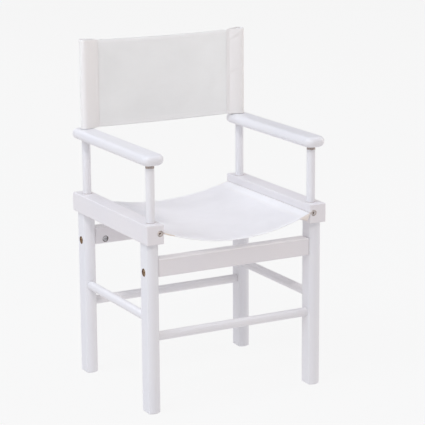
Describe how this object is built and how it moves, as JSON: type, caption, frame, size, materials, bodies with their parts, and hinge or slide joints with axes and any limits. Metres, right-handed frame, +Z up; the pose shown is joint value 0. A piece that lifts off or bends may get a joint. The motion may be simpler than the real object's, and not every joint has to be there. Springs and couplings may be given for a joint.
{
  "type": "director's armchair",
  "caption": "Director's armchair: rigid bolted wooden frame with upright round legs, sling seat held by rods in the side rails, and a canvas back that slips over the rear posts.",
  "frame": {"origin": "on the floor, in the middle of the chair's bounding box", "axes": "+Z up, the front of the chair faces -Y, the sitter's left is +X"},
  "size_m": [0.492, 0.42, 0.85],
  "materials": {
    "white_wood": "satin white paint over solid wood",
    "canvas": "off-white cotton canvas",
    "rod_wood": "dark bare wood",
    "raw_wood": "bare wood",
    "brass_bolt": "brass-plated, dulled",
    "zinc_nut": "zinc-plated"
  },
  "bodies": {
    "frame": {"leg_front_left": "white_wood", "leg_front_right": "white_wood", "leg_rear_left": "white_wood", "leg_rear_right": "white_wood", "side_rail_left": "white_wood", "side_rail_right": "white_wood", "side_stretcher_left": "white_wood", "side_stretcher_right": "white_wood", "front_stretcher": "white_wood", "rear_stretcher": "white_wood", "front_apron": "white_wood", "rear_apron": "white_wood", "post_front_left": "white_wood", "post_front_right": "white_wood", "post_rear_left": "white_wood", "post_rear_right": "white_wood", "armrest_left": "white_wood", "armrest_right": "white_wood", "apron_bolts": "brass_bolt", "barrel_nuts": "zinc_nut", "apron_dowels": "raw_wood", "rail_dowels": "raw_wood"},
    "back_cover": {"back_cover": "canvas"},
    "seat": {"seat_sling": "canvas", "seat_rod_left": "rod_wood", "seat_rod_right": "rod_wood"}
  },
  "joints": [
    {"name": "back_cover_lift", "type": "slide", "parent": "frame", "child": "back_cover", "axis": [0, 0, 1], "range_m": [0, 0.24]},
    {"name": "seat_slide", "type": "slide", "parent": "frame", "child": "seat", "axis": [0, -1, 0], "range_m": [-0.43, 0.43]}
  ]
}
